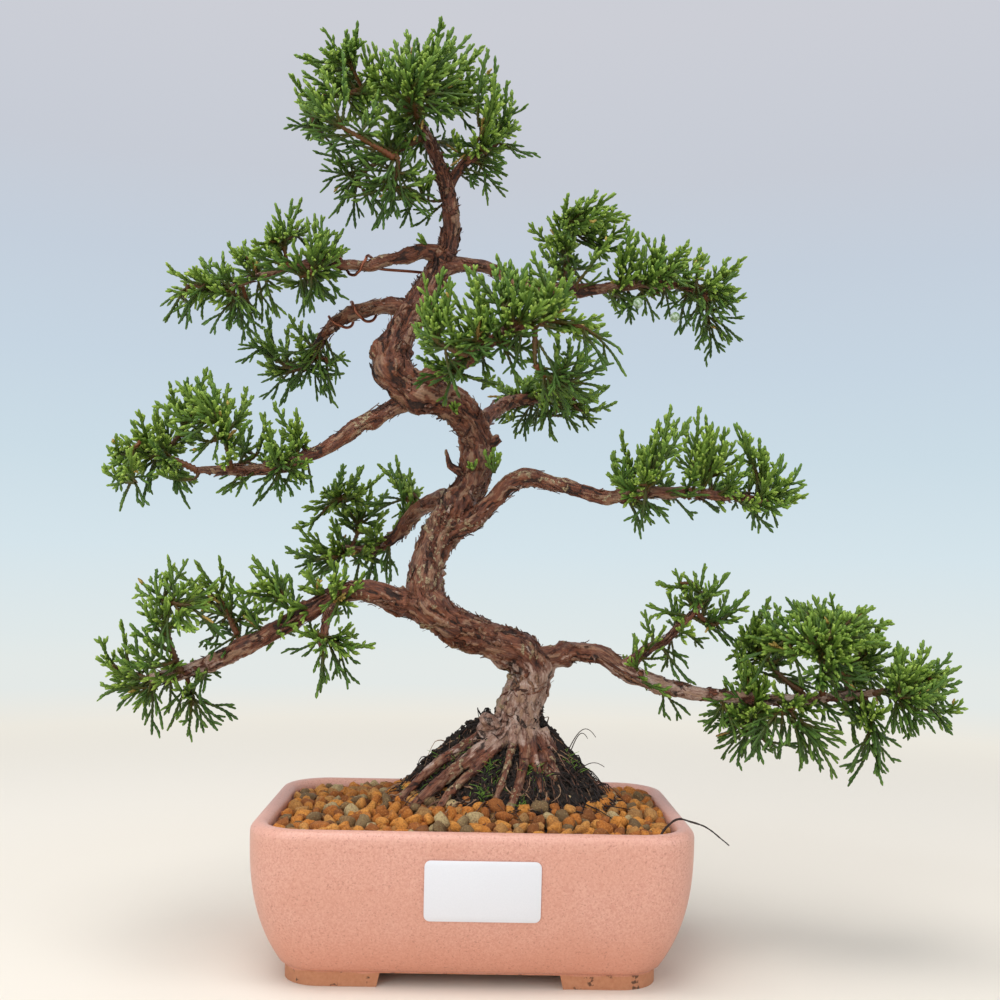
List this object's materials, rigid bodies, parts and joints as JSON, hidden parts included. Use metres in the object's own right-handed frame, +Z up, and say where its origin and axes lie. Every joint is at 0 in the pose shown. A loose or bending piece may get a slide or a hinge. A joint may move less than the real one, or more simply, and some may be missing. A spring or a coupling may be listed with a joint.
{
  "type": "bonsai tree in a pot",
  "caption": "Small juniper bonsai with a winding trunk, layered foliage pads and spreading surface roots, growing in a low rounded rectangular glazed pot on corner feet.",
  "frame": {"origin": "under the middle of the whole object's bounding box, on the surface that the pot stands on; the pot's own middle is 18.5 mm to -X and 2 mm to +Y of it", "axes": "+Z up; +X along the pot's length towards the lowest right-hand branch; the front, with the label, faces -Y"},
  "size_m": [0.311, 0.132, 0.337],
  "materials": {
    "pot_glaze": "satin pink glaze with fine paler mottling and a few dark specks; the lip is paler and the soles of the feet are bare tan clay",
    "screen_plastic": "black moulded drain netting",
    "clip_aluminium": "soft drawn wire, dull",
    "grit": "coarse dry pumice grit",
    "soil_granules": "loose fired-clay granules, orange, tan, brown and grey, matt",
    "root_ball": "damp dark old soil bound by fine roots",
    "bark": "stringy red-brown bark peeling in grey and tan strips",
    "foliage": "scale-leaf juniper sprays, dark green inside with bright yellow-green tips",
    "training_wire": "brown anodised soft wire",
    "berry": "pale bloomed green berry-like cone",
    "moss": "fine green moss",
    "label": "blank white sticker, slightly glossy",
    "root_strand": "thin dark root"
  },
  "bodies": {
    "root": {"pot": "pot_glaze", "drain_screen_left": "screen_plastic", "drain_screen_right": "screen_plastic", "screen_clip_left": "clip_aluminium", "screen_clip_right": "clip_aluminium", "drainage_grit": "grit", "soil": "soil_granules", "root_ball": "root_ball", "trunk": "bark", "training_wire": "training_wire", "berry_left": "berry", "berry_right": "berry", "moss_tuft": "moss", "label": "label", "stray_root": "root_strand", "branch_lower_right": "bark", "branch_lower_right_riser": "bark", "branch_mid_right": "bark", "branch_upper_right": "bark", "branch_lower_left": "bark", "branch_lower_left_spur": "bark", "branch_mid_left": "bark", "branch_back_left": "bark", "branch_upper_left": "bark", "branch_second_left": "bark", "branch_front": "bark", "branch_back": "bark", "branch_apex_right": "bark", "foliage_lower_right": "foliage", "foliage_lower_right_riser": "foliage", "foliage_mid_right": "foliage", "foliage_upper_right": "foliage", "foliage_lower_left": "foliage", "foliage_lower_left_spur": "foliage", "foliage_mid_left": "foliage", "foliage_back_left": "foliage", "foliage_upper_left": "foliage", "foliage_second_left": "foliage", "foliage_front": "foliage", "foliage_back": "foliage", "foliage_apex_left": "foliage", "foliage_apex_right": "foliage"}
  },
  "joints": []
}
